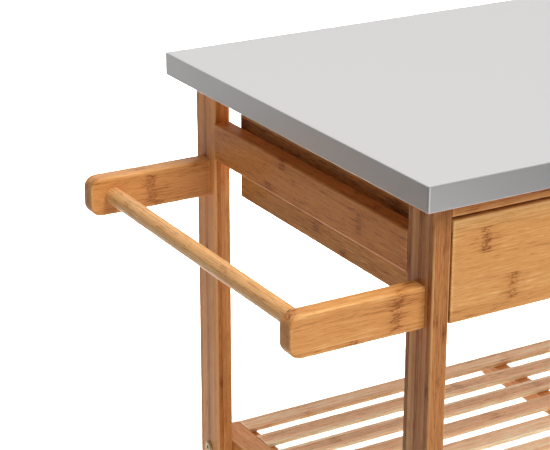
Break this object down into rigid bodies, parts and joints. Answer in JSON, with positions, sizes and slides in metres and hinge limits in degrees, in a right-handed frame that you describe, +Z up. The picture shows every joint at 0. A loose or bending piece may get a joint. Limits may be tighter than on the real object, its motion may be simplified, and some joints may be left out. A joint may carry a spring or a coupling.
{
  "type": "kitchen island cart",
  "caption": "Kitchen island cart on swivel castors: steel-clad worktop, bamboo frame, drawers, slatted shelves and a round towel bar held by arms at one end.",
  "frame": {"origin": "on the floor, in the middle of the whole footprint with the towel handle counted", "axes": "+X along the front away from the towel handle, +Y from the drawers to the back, +Z up"},
  "size_m": [0.953, 0.48, 0.9],
  "materials": {
    "brushed_sheet": "brushed along the worktop",
    "core_board": "raw particle board",
    "bamboo_frame": "satin oil on laminated bamboo",
    "bamboo_front": "satin oil on laminated bamboo",
    "bamboo_board": "satin oil on laminated bamboo",
    "bamboo_slat": "satin oil on laminated bamboo",
    "turned_steel": "fine turned satin",
    "zinc_screw": "bright zinc",
    "bronzed_bolt": "bronzed",
    "castor_steel": "zinc-bright pressed steel",
    "castor_core": "moulded",
    "castor_tread": "satin rubber",
    "brake_pedal": "moulded"
  },
  "bodies": {
    "cart": {"arm_screws": "zinc_screw", "back_rail": "bamboo_frame", "castor_stems": "castor_steel", "drawer_runners": "bamboo_board", "end_rail_left": "bamboo_frame", "end_rail_right": "bamboo_frame", "front_rail": "bamboo_frame", "housing_back": "bamboo_board", "housing_divider": "bamboo_board", "housing_side_left": "bamboo_board", "housing_side_right": "bamboo_board", "leg_back_left": "bamboo_frame", "leg_back_right": "bamboo_frame", "leg_front_left": "bamboo_frame", "leg_front_right": "bamboo_frame", "lower_shelf_rail_left": "bamboo_frame", "lower_shelf_rail_right": "bamboo_frame", "lower_shelf_slats": "bamboo_slat", "shelf_battens": "bamboo_frame", "shelf_bolts": "bronzed_bolt", "top_board": "core_board", "top_skin": "brushed_sheet", "towel_arm_back": "bamboo_frame", "towel_arm_front": "bamboo_frame", "towel_bar": "bamboo_frame", "upper_shelf_rail_left": "bamboo_frame", "upper_shelf_rail_right": "bamboo_frame", "upper_shelf_slats": "bamboo_slat"},
    "drawer_left": {"drawer_left_front": "bamboo_front", "drawer_left_side_left": "bamboo_board", "drawer_left_side_right": "bamboo_board", "drawer_left_back": "bamboo_board", "drawer_left_bottom": "bamboo_board", "drawer_left_knob": "turned_steel", "drawer_left_knob_screw": "zinc_screw"},
    "drawer_right": {"drawer_right_front": "bamboo_front", "drawer_right_side_left": "bamboo_board", "drawer_right_side_right": "bamboo_board", "drawer_right_back": "bamboo_board", "drawer_right_bottom": "bamboo_board", "drawer_right_knob": "turned_steel", "drawer_right_knob_screw": "zinc_screw"},
    "castor_front_left_swivel": {"castor_front_left_fork": "castor_steel", "castor_front_left_axle": "castor_steel"},
    "castor_front_left_roller": {"castor_front_left_wheel": "castor_core", "castor_front_left_tyre": "castor_tread"},
    "castor_front_left_brake_lever": {"castor_front_left_brake": "brake_pedal"},
    "castor_front_right_swivel": {"castor_front_right_fork": "castor_steel", "castor_front_right_axle": "castor_steel"},
    "castor_front_right_roller": {"castor_front_right_wheel": "castor_core", "castor_front_right_tyre": "castor_tread"},
    "castor_front_right_brake_lever": {"castor_front_right_brake": "brake_pedal"},
    "castor_back_left_swivel": {"castor_back_left_fork": "castor_steel", "castor_back_left_axle": "castor_steel"},
    "castor_back_left_roller": {"castor_back_left_wheel": "castor_core", "castor_back_left_tyre": "castor_tread"},
    "castor_back_right_swivel": {"castor_back_right_fork": "castor_steel", "castor_back_right_axle": "castor_steel"},
    "castor_back_right_roller": {"castor_back_right_wheel": "castor_core", "castor_back_right_tyre": "castor_tread"}
  },
  "joints": [
    {"name": "drawer_left_slide", "type": "slide", "parent": "cart", "child": "drawer_left", "axis": [0, -1, 0], "range_m": [0, 0.277]},
    {"name": "drawer_right_slide", "type": "slide", "parent": "cart", "child": "drawer_right", "axis": [0, -1, 0], "range_m": [0, 0.277]},
    {"name": "castor_front_left_turn", "type": "hinge", "parent": "cart", "child": "castor_front_left_swivel", "pos_m": [-0.33125, -0.197, 0.0625], "axis": [0, 0, 1], "continuous": true},
    {"name": "castor_front_left_roll", "type": "hinge", "parent": "castor_front_left_swivel", "child": "castor_front_left_roller", "pos_m": [-0.35325, -0.197, 0.025], "axis": [0, 1, 0], "continuous": true},
    {"name": "castor_front_left_brake_press", "type": "hinge", "parent": "castor_front_left_swivel", "child": "castor_front_left_brake_lever", "pos_m": [-0.36726, -0.197, 0.05399], "axis": [0, -1, 0], "range_deg": [0, 12]},
    {"name": "castor_front_right_turn", "type": "hinge", "parent": "cart", "child": "castor_front_right_swivel", "pos_m": [0.44425, -0.197, 0.0625], "axis": [0, 0, 1], "continuous": true},
    {"name": "castor_front_right_roll", "type": "hinge", "parent": "castor_front_right_swivel", "child": "castor_front_right_roller", "pos_m": [0.42225, -0.197, 0.025], "axis": [0, 1, 0], "continuous": true},
    {"name": "castor_front_right_brake_press", "type": "hinge", "parent": "castor_front_right_swivel", "child": "castor_front_right_brake_lever", "pos_m": [0.40824, -0.197, 0.05399], "axis": [0, -1, 0], "range_deg": [0, 12]},
    {"name": "castor_back_left_turn", "type": "hinge", "parent": "cart", "child": "castor_back_left_swivel", "pos_m": [-0.33125, 0.197, 0.0625], "axis": [0, 0, 1], "continuous": true},
    {"name": "castor_back_left_roll", "type": "hinge", "parent": "castor_back_left_swivel", "child": "castor_back_left_roller", "pos_m": [-0.35325, 0.197, 0.025], "axis": [0, 1, 0], "continuous": true},
    {"name": "castor_back_right_turn", "type": "hinge", "parent": "cart", "child": "castor_back_right_swivel", "pos_m": [0.44425, 0.197, 0.0625], "axis": [0, 0, 1], "continuous": true},
    {"name": "castor_back_right_roll", "type": "hinge", "parent": "castor_back_right_swivel", "child": "castor_back_right_roller", "pos_m": [0.42225, 0.197, 0.025], "axis": [0, 1, 0], "continuous": true}
  ]
}
